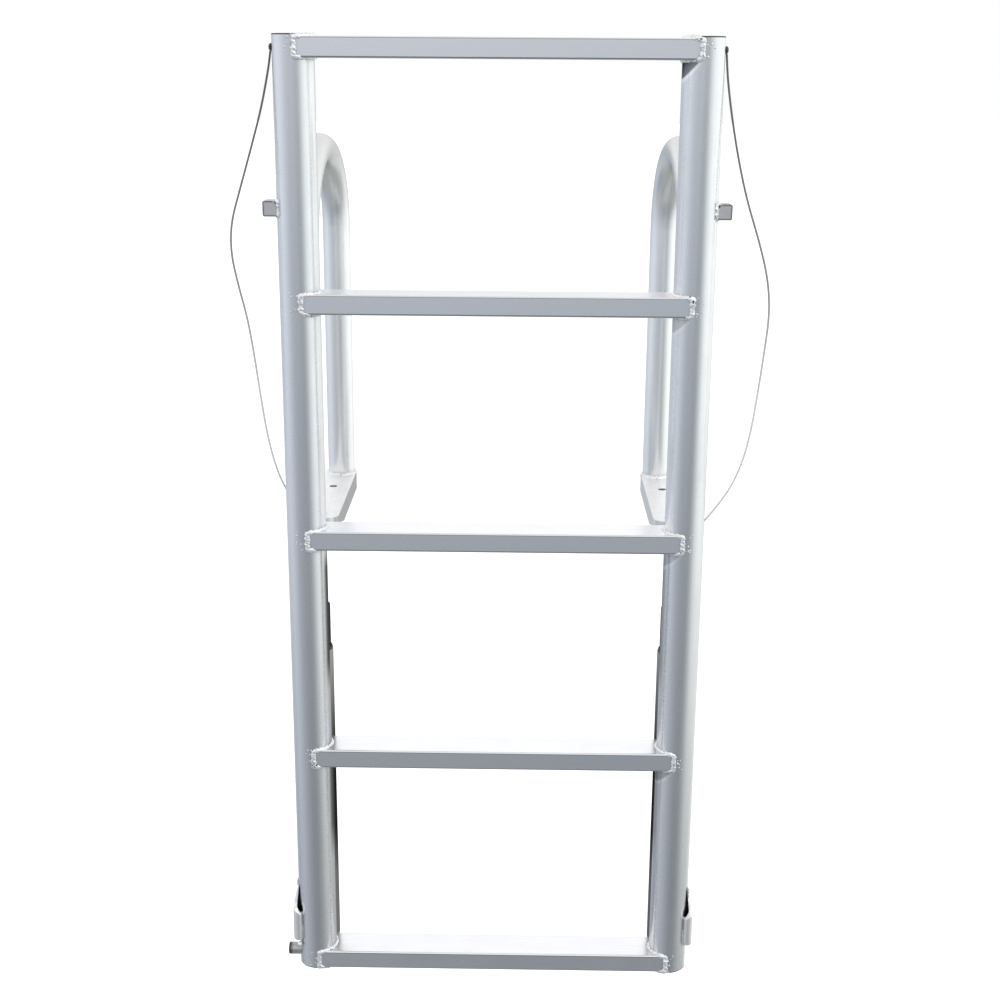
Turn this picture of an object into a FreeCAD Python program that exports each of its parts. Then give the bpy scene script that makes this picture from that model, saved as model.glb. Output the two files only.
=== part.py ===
# Dock ladder that lifts out of the water, in welded aluminium tube.
# Two fixed hoops stand on deck feet. Their front legs run down in front of the
# dock, and the ladder slides on them with a sleeve behind each rail.
# Frame: millimetres, +Z up, +Y towards the dock, +X to the right of a person
# who faces the dock. The origin is on the underside of the left foot.
# The ladder is drawn in its raised position.
import FreeCAD
import Part
import math
import os
import Sketcher

os.makedirs("parts", exist_ok=True)
doc = FreeCAD.newDocument("dock_ladder")
V = FreeCAD.Vector
Z_UP = V(0, 0, 1)

SIZES = (
    # the ladder's middle plane and the plane of its rails, from the origin
    ("mid_x", 240.0), ("rail_y", -160.0),
    # rails
    ("rail_x", 244.3), ("rail_od", 50.8), ("rail_wall", 3.2),
    ("rail_top", 634.6), ("rail_long", 1245.0),
    # plugs in the ends of the rails and of the hoops' front legs
    ("plug_flange", 1.6), ("plug_deep", 18.0), ("plug_wall", 2.2), ("plug_edge", 0.8),
    # rungs, evenly spaced from so far below the top of the rails to so far above
    # their feet
    ("rung_drop", 13.6), ("rung_lift", 12.2), ("rung_inset", 0.3),
    ("rung_tall", 25.4), ("rung_wall", 2.4), ("rung_round", 2.6),
    # guide sleeves behind the rails, from so far above the rails' feet to so far
    # below the deck
    ("sleeve_od", 48.3), ("sleeve_wall", 3.7), ("sleeve_rise", 11.4), ("sleeve_drop", 162.0),
    # bushings in the sleeves' ends, with their running and press clearances
    ("bush_lip", 3.0), ("bush_long", 30.0), ("bush_step", 1.15),
    ("run_slack", 0.15), ("press_slack", 0.05),
    # hoops, whose front legs end this far above the foot of the sleeves
    ("hoop_od", 38.1), ("hoop_wall", 3.2), ("hoop_crown", 514.0),
    ("hoop_rise", 4.0), ("hoop_back", 222.5), ("hoop_toe", 14.8),
    # stop collars on the hoops' front legs, just above the sleeves
    ("collar_od", 42.6), ("collar_long", 58.0), ("collar_slack", 0.3),
    # deck feet
    ("foot_wide", 63.5), ("foot_tall", 25.4), ("foot_lip", 6.4), ("foot_front", 34.0),
    ("foot_heel", 108.0), ("foot_rear", 294.0), ("foot_round", 19.0), ("foot_nose", 16.0),
    ("bolt_x", 232.5), ("bolt_y", 193.0), ("bolt_bore", 11.0),
    # stop tabs, their undersides so far below the top of the rails
    ("tab_out", 41.2), ("tab_tall", 19.0), ("tab_deep", 25.4), ("tab_drop", 212.6),
    ("tab_bevel", 4.0), ("tab_round", 2.4),
    # hooks low on the rails: a round bar, and a strap that is bent in over its top
    ("hook_out", 27.6), ("hook_fore", 14.2), ("hook_od", 14.2), ("hook_rise", 38.2),
    ("hook_heel", 37.7), ("hook_knee", 54.0), ("hook_neck", 78.2), ("hook_gauge", 3.6),
    ("hook_deep", 22.0), ("hook_round", 3.0), ("hook_web", 3.0),
    # stub below the left hook
    ("stub_out", 41.0), ("stub_tall", 19.5), ("stub_rise", 11.0), ("stub_deep", 20.0),
    # lanyards with their rivets and lock pins
    ("cable_od", 2.6), ("rivet_drop", 14.1), ("rivet_head", 9.0), ("rivet_tall", 3.2),
    ("rivet_bore", 4.8), ("rivet_edge", 1.6), ("rivet_seat", 0.2),
    ("pin_od", 8.0), ("pin_slack", 0.2), ("pin_angle", 50.0), ("pin_reach", 12.0),
    ("pin_seat", 1.5), ("pin_left_z", 44.0), ("pin_right_z", 14.0), ("pin_head", 12.0),
    ("pin_head_tall", 3.0), ("pin_tip", 1.0),
)

sheet = doc.addObject("Spreadsheet::Sheet", "Dims")
D = {}
for row, (alias, value) in enumerate(SIZES, start=1):
    sheet.set("A%d" % row, alias)
    sheet.set("B%d" % row, str(value))
    sheet.setAlias("B%d" % row, alias)
    D[alias] = value
doc.recompute()


def bind(obj, **rules):
    for prop, rule in rules.items():
        obj.setExpression(prop.replace("__", "."), rule)
    return obj


def place(obj, x="0", y="0", z="0", angle=None):
    obj.setExpression("Placement.Base.x", x)
    obj.setExpression("Placement.Base.y", y)
    obj.setExpression("Placement.Base.z", z)
    if angle is not None:
        obj.setExpression("Placement.Rotation.Axis.z", "1")
        obj.setExpression("Placement.Rotation.Angle", angle)
    return obj


def plane_of(body, role):
    for item in body.Origin.OriginFeatures:
        if item.Role == role:
            return item
    raise RuntimeError(role)


def sketch_in(body, role, name):
    sketch = body.newObject("Sketcher::SketchObject", name)
    sketch.AttachmentSupport = [(plane_of(body, role), "")]
    sketch.MapMode = "FlatFace"
    return sketch


def datum(sketch, kind, args, rule, start=10.0):
    index = sketch.addConstraint(Sketcher.Constraint(kind, *args, start))
    sketch.setExpression("Constraints[%d]" % index, rule)


def hold(sketch, geo, vertex, x_rule, y_rule):
    if x_rule == "0":
        sketch.addConstraint(Sketcher.Constraint("PointOnObject", geo, vertex, -2))
    else:
        datum(sketch, "DistanceX", (-1, 1, geo, vertex), x_rule)
    if y_rule == "0":
        sketch.addConstraint(Sketcher.Constraint("PointOnObject", geo, vertex, -1))
    else:
        datum(sketch, "DistanceY", (-1, 1, geo, vertex), y_rule)


# A sketch's lines and circles are put down anywhere, and their rules place them.
def disc(sketch, radius_rule, x_rule="0", y_rule="0"):
    geo = sketch.addGeometry(Part.Circle(V(10, 10, 0), Z_UP, 10), False)
    datum(sketch, "Radius", (geo,), radius_rule)
    hold(sketch, geo, 3, x_rule, y_rule)


def polygon(sketch, corners):
    count = len(corners)
    turn = 2 * math.pi / count
    points = [V(20 * math.cos(turn * i), 20 * math.sin(turn * i), 0) for i in range(count)]
    first = sketch.GeometryCount
    for i in range(count):
        sketch.addGeometry(Part.LineSegment(points[i], points[(i + 1) % count]), False)
    for i in range(count):
        other = first + (i + 1) % count
        sketch.addConstraint(Sketcher.Constraint("Coincident", first + i, 2, other, 1))
    for i, (x_rule, y_rule) in enumerate(corners):
        hold(sketch, first + i, 1, x_rule, y_rule)


def new_body(name):
    body = doc.addObject("PartDesign::Body", name)
    body.Label = name
    return body


def pad(body, sketch, rule, middle=False, back=False):
    feature = body.newObject("PartDesign::Pad", body.Name + "_pad")
    feature.Profile = sketch
    feature.setExpression("Length", rule)
    feature.Midplane = middle
    feature.Reversed = back
    sketch.Visibility = False
    doc.recompute()
    return feature


def pocket(body, sketch, name):
    feature = body.newObject("PartDesign::Pocket", body.Name + name)
    feature.Profile = sketch
    feature.Type = "ThroughAll"
    feature.Midplane = True
    doc.recompute()
    return feature


def revolve(body, sketch):
    feature = body.newObject("PartDesign::Revolution", body.Name + "_turn")
    feature.Profile = sketch
    feature.ReferenceAxis = (sketch, ["V_Axis"])
    feature.Angle = 360.0
    doc.recompute()
    return feature


def edges_where(shape, test):
    names = []
    for index, edge in enumerate(shape.Edges, start=1):
        if test(edge):
            names.append("Edge%d" % index)
    return names


def round_edges(body, base, names, rule, kind="Fillet", prop="Radius"):
    feature = body.newObject("PartDesign::" + kind, body.Name + "_" + kind.lower())
    feature.Base = (base, names)
    feature.setExpression(prop, rule)
    doc.recompute()
    return feature


SIDES = (("left", -1), ("right", 1))
RUNGS = 5
solids = []


def keep(obj, name):
    obj.Label = name
    solids.append((name, obj))
    return obj


def cylinder(name, radius, height):
    obj = doc.addObject("Part::Cylinder", name)
    obj.setExpression("Radius", radius)
    obj.setExpression("Height", height)
    return obj


def side_x(sign, rule):
    return "Dims.mid_x %s (%s)" % ("+" if sign > 0 else "-", rule)


RAIL_FOOT = "(Dims.rail_top - Dims.rail_long)"
RUNG_PITCH = "(Dims.rail_long - Dims.rung_drop - Dims.rung_lift) / %d" % (RUNGS - 1)
SLEEVE_Y = "Dims.rail_y + Dims.rail_od / 2 + Dims.sleeve_od / 2"
SLEEVE_FOOT = "(Dims.rail_top - Dims.rail_long + Dims.sleeve_rise)"
SLEEVE_LONG = "(Dims.rail_long - Dims.rail_top - Dims.sleeve_rise - Dims.sleeve_drop)"
HOOP_FOOT = "(Dims.rail_top - Dims.rail_long + Dims.sleeve_rise + Dims.hoop_rise)"


# A rail is a round tube with a rivet hole on its outer side and, at its back
# outer quarter, the hole that the lock pin goes through.
def rail_of(side, sign):
    outer = cylinder(side + "_rail_outside", "Dims.rail_od / 2", "Dims.rail_long")
    place(outer, side_x(sign, "Dims.rail_x"), "Dims.rail_y", RAIL_FOOT)
    core = cylinder(side + "_rail_core", "Dims.rail_od / 2 - Dims.rail_wall", "Dims.rail_long + 2")
    place(core, side_x(sign, "Dims.rail_x"), "Dims.rail_y", RAIL_FOOT + " - 1")
    holes = []
    turns = (("rivet", "Dims.rivet_bore / 2", "0", "Dims.rail_top - Dims.rivet_drop"),
             ("pin", "Dims.pin_od / 2 + Dims.pin_slack", "Dims.pin_angle", "Dims.pin_%s_z" % side))
    for what, bore, angle, height in turns:
        hole = cylinder("%s_rail_%s_hole" % (side, what), bore, "Dims.rail_od")
        place(hole, side_x(sign, "Dims.rail_x"), "Dims.rail_y", height)
        heading = angle if sign > 0 else "180 - " + angle
        axis = radial_axis(heading)
        hole.setExpression("Placement.Rotation.Axis.x", axis[0])
        hole.setExpression("Placement.Rotation.Axis.y", axis[1])
        hole.setExpression("Placement.Rotation.Axis.z", "0")
        hole.setExpression("Placement.Rotation.Angle", "90")
        holes.append(hole)
    tools = doc.addObject("Part::MultiFuse", side + "_rail_voids")
    tools.Shapes = [core] + holes
    rail = doc.addObject("Part::Cut", side + "_rail")
    rail.Base = outer
    rail.Tool = tools
    return keep(rail, side + "_rail")


# A turn of 90 degrees about this level axis points a local Z outwards, in the
# direction that lies the given angle round from +X.
def radial_axis(heading):
    return "-sin((%s) * 1 deg)" % heading, "cos((%s) * 1 deg)" % heading


def turned_part(name, x, y, z, heading, profile):
    body = new_body(name)
    sketch = sketch_in(body, "XZ_Plane", name + "_profile")
    polygon(sketch, profile)
    revolve(body, sketch)
    place(body, x, y, z)
    axis = radial_axis(heading)
    body.setExpression("Placement.Rotation.Axis.x", axis[0])
    body.setExpression("Placement.Rotation.Axis.y", axis[1])
    body.setExpression("Placement.Rotation.Axis.z", "0")
    body.setExpression("Placement.Rotation.Angle", "90")
    return keep(body, name)


# A plug is a thin flange on the end of a tube, with a cupped stem inside it.
def plug_of(name, tube, x, y, height, up=""):
    rim = "Dims.%s_od / 2" % tube
    stem = rim + " - Dims.%s_wall" % tube
    shell = stem + " - Dims.plug_wall"
    down = "" if up == "-" else "-"
    body = new_body(name)
    sketch = sketch_in(body, "XZ_Plane", name + "_profile")
    polygon(sketch, (("0", up + "Dims.plug_flange"), (rim + " - Dims.plug_edge", up + "Dims.plug_flange"),
                     (rim, up + "Dims.plug_edge"), (rim, "0"), (stem, "0"),
                     (stem, down + "Dims.plug_deep"), (shell, down + "Dims.plug_deep"),
                     (shell, down + "Dims.plug_wall"), ("0", down + "Dims.plug_wall")))
    revolve(body, sketch)
    place(body, x, y, height)
    return keep(body, name)


# A rung is a flat tube about as deep as the rails, its ends coped to them.
def rung_of(number_from_top):
    name = "rung_%d" % number_from_top
    body = new_body(name)
    section = sketch_in(body, "YZ_Plane", name + "_section")
    for wall in ("0", "Dims.rung_wall"):
        deep = "(Dims.rail_od / 2 - Dims.rung_inset - %s)" % wall
        tall = "(Dims.rung_tall / 2 - %s)" % wall
        polygon(section, (("-" + deep, "-" + tall), (deep, "-" + tall), (deep, tall), ("-" + deep, tall)))
    bar = pad(body, section, "2 * Dims.rail_x", middle=True)
    rim_y = D["rail_od"] / 2 - D["rung_inset"]
    rim_z = D["rung_tall"] / 2

    def long_corner(edge):
        low = edge.BoundBox
        outside = abs(abs(low.Center.y) - rim_y) < 0.01 and abs(abs(low.Center.z) - rim_z) < 0.01
        return outside and low.XLength > 100

    corners = edges_where(bar.Shape, long_corner)
    if len(corners) != 4:
        raise RuntimeError("rung corners")
    round_edges(body, bar, corners, "Dims.rung_round")
    cope = sketch_in(body, "XY_Plane", name + "_cope")
    for sign in ("-", ""):
        disc(cope, "Dims.rail_od / 2", sign + "Dims.rail_x")
    pocket(body, cope, "_copes")
    place(body, "Dims.mid_x", "Dims.rail_y",
          "Dims.rail_top - Dims.rung_drop - %d * %s" % (number_from_top - 1, RUNG_PITCH))
    return keep(body, name)


# A guide sleeve is a tube that touches the back of its rail along its length.
def sleeve_of(side, sign):
    name = side + "_guide_sleeve"
    body = new_body(name)
    section = sketch_in(body, "XY_Plane", name + "_section")
    disc(section, "Dims.sleeve_od / 2")
    disc(section, "Dims.sleeve_od / 2 - Dims.sleeve_wall")
    pad(body, section, SLEEVE_LONG)
    place(body, side_x(sign, "Dims.rail_x"), SLEEVE_Y, SLEEVE_FOOT)
    return keep(body, name)


# A bushing is a flanged ring that the hoop's leg runs through.
def bushing_of(side, sign, end):
    name = "%s_%s_bushing" % (side, end)
    up = "" if end == "upper" else "-"
    body = new_body(name)
    sketch = sketch_in(body, "XZ_Plane", name + "_profile")
    lip = up + "Dims.bush_lip"
    tail = ("-" if end == "upper" else "") + "Dims.bush_long"
    bore = "Dims.hoop_od / 2 + Dims.run_slack"
    rim = "Dims.sleeve_od / 2 - Dims.bush_step"
    stem = "Dims.sleeve_od / 2 - Dims.sleeve_wall - Dims.press_slack"
    polygon(sketch, ((bore, lip), (rim, lip), (rim, "0"), (stem, "0"), (stem, tail), (bore, tail)))
    revolve(body, sketch)
    height = "-Dims.sleeve_drop" if end == "upper" else SLEEVE_FOOT
    place(body, side_x(sign, "Dims.rail_x"), SLEEVE_Y, height)
    return keep(body, name)


# A hoop is one bent tube: a long front leg down into the sleeve, a half round
# crown and a rear leg down to the foot. It toes in a little towards the back.
def tube_section(body, name, height, across):
    section = sketch_in(body, "XY_Plane", name)
    section.setExpression("AttachmentOffset.Base.z", height)
    disc(section, "Dims.hoop_od / 2", across)
    disc(section, "Dims.hoop_od / 2 - Dims.hoop_wall", across)
    return section


def hoop_of(side, sign):
    name = side + "_hoop"
    span = "sqrt(Dims.hoop_back ^ 2 + Dims.hoop_toe ^ 2)"
    shoulder = "(Dims.hoop_crown - Dims.hoop_od / 2 - %s / 2 - %s)" % (span, HOOP_FOOT)
    step = "(Dims.foot_tall - %s)" % HOOP_FOOT
    body = new_body(name)
    front = tube_section(body, name + "_front_section", "0", "0")
    leg = pad(body, front, shoulder)
    crown = tube_section(body, name + "_crown_section", shoulder, "0")
    axis = crown.addGeometry(Part.LineSegment(V(100, -40, 0), V(100, 40, 0)), True)
    crown.addConstraint(Sketcher.Constraint("Vertical", axis))
    datum(crown, "DistanceX", (-1, 1, axis, 1), span + " / 2", 100.0)
    bend = body.newObject("PartDesign::Revolution", name + "_crown")
    bend.Profile = crown
    bend.ReferenceAxis = (crown, ["Axis0"])
    bend.Angle = 180.0
    doc.recompute()
    if bend.Shape.BoundBox.ZMax < leg.Shape.BoundBox.ZMax + D["hoop_od"]:
        bend.Reversed = True
        doc.recompute()
    rear = tube_section(body, name + "_rear_section", step, span)
    rear_leg = body.newObject("PartDesign::Pad", name + "_rear_leg")
    rear_leg.Profile = rear
    rear_leg.setExpression("Length", "%s - %s" % (shoulder, step))
    doc.recompute()
    if sign > 0:
        heading = "90 + atan(Dims.hoop_toe / Dims.hoop_back) / 1 deg"
    else:
        heading = "90 - atan(Dims.hoop_toe / Dims.hoop_back) / 1 deg"
    place(body, side_x(sign, "Dims.rail_x"), SLEEVE_Y, HOOP_FOOT, heading)
    return keep(body, name)


# A stop collar is a short tube welded on the hoop's leg. The sleeve comes up
# against it when the ladder is raised.
def collar_of(side, sign):
    name = side + "_stop_collar"
    body = new_body(name)
    section = sketch_in(body, "XY_Plane", name + "_section")
    disc(section, "Dims.collar_od / 2")
    disc(section, "Dims.hoop_od / 2 + Dims.press_slack")
    pad(body, section, "Dims.collar_long")
    place(body, side_x(sign, "Dims.rail_x"), SLEEVE_Y,
          "Dims.bush_lip + Dims.collar_slack - Dims.sleeve_drop")
    return keep(body, name)


# A deck foot is a thick bar with rounded corners. Its front end is undercut to a
# thin lip, the front leg goes down through it and one bolt goes in beside the middle.
def foot_of(side, sign):
    name = side + "_deck_foot"
    body = new_body(name)
    profile = sketch_in(body, "YZ_Plane", name + "_profile")
    lip = "Dims.foot_tall - Dims.foot_lip"
    polygon(profile, (("Dims.foot_front", lip), ("Dims.foot_heel", "0"), ("Dims.foot_rear", "0"),
                      ("Dims.foot_rear", "Dims.foot_tall"), ("Dims.foot_front", "Dims.foot_tall")))
    bar = pad(body, profile, "Dims.foot_wide", middle=True)
    ends = ((D["foot_rear"], "Dims.foot_round"), (D["foot_front"], "Dims.foot_nose"))
    for end, rule in ends:

        def upright(edge):
            box = edge.BoundBox
            return box.XLength + box.YLength < 0.01 and abs(box.Center.y - end) < 0.01

        corners = edges_where(bar.Shape, upright)
        if len(corners) != 2:
            raise RuntimeError("foot corners")
        bar = round_edges(body, bar, corners, rule)
    cuts = sketch_in(body, "XY_Plane", name + "_holes")
    # The foot's middle lies on the origin's X and the front leg is outboard of it.
    out = "%s(Dims.rail_x - Dims.mid_x)" % ("-" if sign < 0 else "")
    bolt = "%s(Dims.bolt_x - Dims.mid_x)" % ("-" if sign < 0 else "")
    leg_y = "(Dims.rail_od + Dims.sleeve_od) / 2"
    disc(cuts, "Dims.hoop_od / 2", out, leg_y)
    disc(cuts, "Dims.bolt_bore / 2", bolt, "Dims.bolt_y")
    pocket(body, cuts, "_holes_cut")
    place(body, side_x(sign, "Dims.mid_x"), "Dims.rail_y", "0")
    return keep(body, name)


# What is welded to a rail's side is coped to its curve.
def cope_to_rail(blank, name, sign, low, high):
    tool = cylinder(name + "_cope", "Dims.rail_od / 2", "(%s) - (%s) + Dims.rail_od" % (high, low))
    place(tool, side_x(sign, "Dims.rail_x"), "Dims.rail_y", "(%s) - Dims.rail_od / 2" % low)
    cut = doc.addObject("Part::Cut", name)
    cut.Base = blank
    cut.Tool = tool
    return keep(cut, name)


def outward(sign, corners):
    flip = "" if sign > 0 else "-"
    return tuple((flip + "(" + x + ")", z) for x, z in corners)


# A block is a short piece of bar, square to the rail, with its edges rounded.
def block_of(name, sign, corners, deep):
    body = new_body(name + "_blank")
    profile = sketch_in(body, "XZ_Plane", name + "_profile")
    polygon(profile, outward(sign, corners))
    bar = pad(body, profile, deep, middle=True)
    reach = D["rail_od"] / 2

    def outer_corner(edge):
        box = edge.BoundBox
        return box.XLength + box.ZLength < 0.01 and abs(box.Center.x) > reach

    round_edges(body, bar, edges_where(bar.Shape, outer_corner), "Dims.tab_round")
    place(body, side_x(sign, "Dims.rail_x"), "Dims.rail_y", "0")
    return body


def tab_of(side, sign):
    low = "Dims.rail_top - Dims.tab_drop"
    high = low + " + Dims.tab_tall"
    root = "Dims.rail_od / 3"
    edge = "Dims.rail_od / 2 + Dims.tab_bevel"
    corners = ((root, low), ("Dims.tab_out", low), ("Dims.tab_out", high), (edge, high),
               (edge + " - Dims.tab_bevel - 1", high + " - Dims.tab_bevel - 1"),
               (root, high + " - Dims.tab_bevel - 1"))
    blank = block_of(side + "_stop_tab", sign, corners, "Dims.tab_deep")
    cope_to_rail(blank, side + "_stop_tab", sign, low, high)


def stub_of():
    low = RAIL_FOOT + " + Dims.stub_rise"
    high = low + " + Dims.stub_tall"
    corners = (("Dims.rail_od / 3", low), ("Dims.stub_out", low), ("Dims.stub_out", high),
               ("Dims.rail_od / 3", high))
    blank = block_of("left_lower_stub", -1, corners, "Dims.stub_deep")
    cope_to_rail(blank, "left_lower_stub", -1, low, high)


# A hook is a round bar that stands at the rail's front outer quarter. A strap
# comes down from the rail, is bent in over the bar's slanted top and has a
# web behind it.
def hook_of(side, sign):
    name = side + "_lower_hook"
    foot = RAIL_FOOT + " + Dims.hook_rise"
    root = "Dims.rail_od / 3"
    inner = "Dims.hook_out - Dims.hook_od / 2"
    outer = "Dims.hook_out + Dims.hook_od / 2"
    body = new_body(name + "_blank")
    bar = sketch_in(body, "XY_Plane", name + "_bar")
    disc(bar, "Dims.hook_od / 2", ("" if sign > 0 else "-") + "Dims.hook_out", "-Dims.hook_fore")
    post = pad(body, bar, "Dims.hook_neck")
    ends = edges_where(post.Shape, lambda e: e.BoundBox.ZMax < 0.01)
    round_edges(body, post, ends, "Dims.hook_round")
    slant = sketch_in(body, "XZ_Plane", name + "_slant")
    polygon(slant, outward(sign, ((root, "Dims.hook_heel"), (inner, "Dims.hook_heel"),
                                  (outer, "Dims.hook_knee"), ("Dims.rail_od", "Dims.hook_knee"),
                                  ("Dims.rail_od", "Dims.hook_neck + 1"), (root, "Dims.hook_neck + 1"))))
    pocket(body, slant, "_slant_cut")
    strap = sketch_in(body, "XZ_Plane", name + "_strap")
    polygon(strap, outward(sign, ((inner, "Dims.hook_heel"), (outer, "Dims.hook_knee"),
                                  ("Dims.rail_od / 2 + Dims.hook_gauge", "Dims.hook_neck"),
                                  (root, "Dims.hook_neck"), (root, "Dims.hook_neck - 5"),
                                  ("Dims.rail_od / 2", "Dims.hook_neck - 5"),
                                  (outer + " - Dims.hook_gauge", "Dims.hook_knee + 2"),
                                  (inner, "Dims.hook_heel + Dims.hook_gauge"))))
    strap.setExpression("AttachmentOffset.Base.z", "Dims.hook_deep / 2 - Dims.hook_web")
    pad(body, strap, "Dims.hook_deep", middle=True)
    web = sketch_in(body, "XZ_Plane", name + "_web")
    polygon(web, outward(sign, ((root, "Dims.hook_heel"), (inner, "Dims.hook_heel"),
                                (outer, "Dims.hook_knee"),
                                ("Dims.rail_od / 2 + Dims.hook_gauge", "Dims.hook_neck"),
                                (root, "Dims.hook_neck"))))
    web.setExpression("AttachmentOffset.Base.z", "-Dims.hook_web / 2")
    pad(body, web, "Dims.hook_web", middle=True)
    place(body, side_x(sign, "Dims.rail_x"), "Dims.rail_y", foot)
    cope_to_rail(body, name, sign, foot, foot + " + Dims.hook_neck")


# A rivet's shank fills its hole and its head stands on the rail.
def rivet_of(side, sign):
    rail = "Dims.rail_od / 2"
    head = rail + " + Dims.rivet_seat"
    shank = "Dims.rivet_bore / 2 - Dims.press_slack"
    profile = (("0", rail + " - Dims.rail_wall"), (shank, rail + " - Dims.rail_wall"),
               (shank, head), ("Dims.rivet_head / 2", head),
               ("Dims.rivet_head / 2", head + " + Dims.rivet_tall / 2"),
               ("Dims.rivet_head / 2 - Dims.rivet_edge", head + " + Dims.rivet_tall"),
               ("0", head + " + Dims.rivet_tall"))
    turned_part(side + "_lanyard_rivet", side_x(sign, "Dims.rail_x"), "Dims.rail_y",
                "Dims.rail_top - Dims.rivet_drop", "0" if sign > 0 else "180", profile)


# A lock pin stands in its hole with its head just off the rail.
def pin_of(side, sign):
    rail = "Dims.rail_od / 2"
    head = rail + " + Dims.pin_seat"
    tip = rail + " - Dims.pin_reach"
    profile = (("0", tip), ("Dims.pin_od / 2 - Dims.pin_tip", tip),
               ("Dims.pin_od / 2", tip + " + Dims.pin_tip"), ("Dims.pin_od / 2", head),
               ("Dims.pin_head / 2", head), ("Dims.pin_head / 2", head + " + Dims.pin_head_tall"),
               ("0", head + " + Dims.pin_head_tall"))
    heading = "Dims.pin_angle" if sign > 0 else "180 - Dims.pin_angle"
    turned_part(side + "_lock_pin", side_x(sign, "Dims.rail_x"), "Dims.rail_y",
                "Dims.pin_%s_z" % side, heading, profile)


# The lanyards' routes, as points out from the middle plane, back from the
# rails' plane and up, from the rivet's face to the lock pin's head.
ROUTES = {
    "left": ((271.5, 0.0, 616.0), (273.0, 0.0, 604.5), (277.0, 0.0, 584.0), (285.5, 0.2, 547.0),
             (298.5, 0.4, 504.0), (313.5, 0.6, 456.0), (327.0, 0.8, 413.0), (328.6, 1.0, 376.0),
             (321.5, 1.4, 338.0), (311.0, 2.0, 294.0), (304.2, 3.0, 244.0), (298.5, 4.5, 192.0),
             (292.2, 7.5, 141.0), (283.0, 12.5, 97.0), (271.5, 18.5, 66.0), (262.8, 21.6, 50.2)),
    "right": ((271.5, 0.0, 616.0), (272.4, 0.0, 604.0), (274.8, 0.0, 582.0), (281.0, 0.2, 544.0),
              (291.5, 0.4, 493.0), (304.5, 0.6, 444.0), (320.5, 0.8, 399.0), (334.5, 1.0, 352.0),
              (339.5, 1.2, 308.0), (335.8, 1.6, 262.0), (331.0, 2.2, 214.0), (325.5, 3.2, 164.0),
              (318.0, 5.5, 122.0), (305.0, 9.5, 83.0), (287.0, 14.5, 53.0), (272.5, 19.0, 32.0),
              (262.8, 21.6, 20.2)),
}


def cord_wire(points):
    lengths = [(b - a).Length for a, b in zip(points, points[1:])]
    edges = []
    radii = []
    start = points[0]
    for i in range(1, len(points) - 1):
        before = (points[i] - points[i - 1]).normalize()
        after = (points[i + 1] - points[i]).normalize()
        turn = before.getAngle(after)
        short = min(lengths[i - 1], lengths[i])
        radius = 0.45 * short / math.tan(turn / 2)
        trim = 0.45 * short
        enter = points[i] - before * trim
        leave = points[i] + after * trim
        inward = (after - before).normalize()
        centre = points[i] + inward * (radius / math.cos(turn / 2))
        middle = centre - inward * radius
        edges.append(Part.LineSegment(start, enter).toShape())
        edges.append(Part.Arc(enter, middle, leave).toShape())
        radii.append(radius)
        start = leave
    edges.append(Part.LineSegment(start, points[-1]).toShape())
    return Part.Wire(edges), radii


def lanyard_of(side, sign):
    name = side + "_lanyard"
    points = [V(D["mid_x"] + sign * x, D["rail_y"] + y, z) for x, y, z in ROUTES[side]]
    wire, radii = cord_wire(points)
    heading = points[1] - points[0]
    section = Part.Wire([Part.Circle(points[0], heading, D["cable_od"] / 2).toShape()])
    tube = wire.makePipeShell([section], True, False)
    if tube.Volume < 0:
        tube.reverse()
    expected = math.pi * D["cable_od"] ** 2 / 4 * wire.Length
    print(name, "length %.1f" % wire.Length, "volume ratio %.4f" % (tube.Volume / expected),
          "radii", " ".join("%.0f" % r for r in radii))
    feature = doc.addObject("Part::Feature", name)
    feature.Shape = tube
    return keep(feature, name)


for side, sign in SIDES:
    hoop_of(side, sign)
    foot_of(side, sign)
    rail_of(side, sign)
    plug_of(side + "_rail_top_plug", "rail", side_x(sign, "Dims.rail_x"), "Dims.rail_y", "Dims.rail_top")
    plug_of(side + "_rail_bottom_plug", "rail", side_x(sign, "Dims.rail_x"), "Dims.rail_y",
            RAIL_FOOT, "-")
    plug_of(side + "_hoop_plug", "hoop", side_x(sign, "Dims.rail_x"), SLEEVE_Y, HOOP_FOOT, "-")
    collar_of(side, sign)
    sleeve_of(side, sign)
    bushing_of(side, sign, "upper")
    bushing_of(side, sign, "lower")
    tab_of(side, sign)
    hook_of(side, sign)
    rivet_of(side, sign)
    pin_of(side, sign)
    lanyard_of(side, sign)
for index in range(RUNGS):
    rung_of(index + 1)
stub_of()
doc.recompute()

for obj in doc.Objects:
    if "Invalid" in obj.State or "Error" in obj.State:
        raise RuntimeError("failed: " + obj.Name)
for name, obj in solids:
    shape = obj.Shape
    if shape.isNull() or not shape.isValid() or len(shape.Solids) != 1:
        raise RuntimeError("bad shape: %s, %d solids" % (name, len(shape.Solids)))
total = 0.0
for name, obj in solids:
    obj.Shape.exportStep("parts/%s.step" % name)
    total += obj.Shape.Volume
    box = obj.Shape.BoundBox
    print("%-24s %9.0f mm3  x %7.1f %7.1f  y %7.1f %7.1f  z %7.1f %7.1f" % (
        name, obj.Shape.Volume, box.XMin, box.XMax, box.YMin, box.YMax, box.ZMin, box.ZMax))
print("pieces", len(solids), "solid volume litres %.3f" % (total / 1e6))
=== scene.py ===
import math

import bpy
import numpy as np
from mathutils import Matrix, Vector


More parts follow.
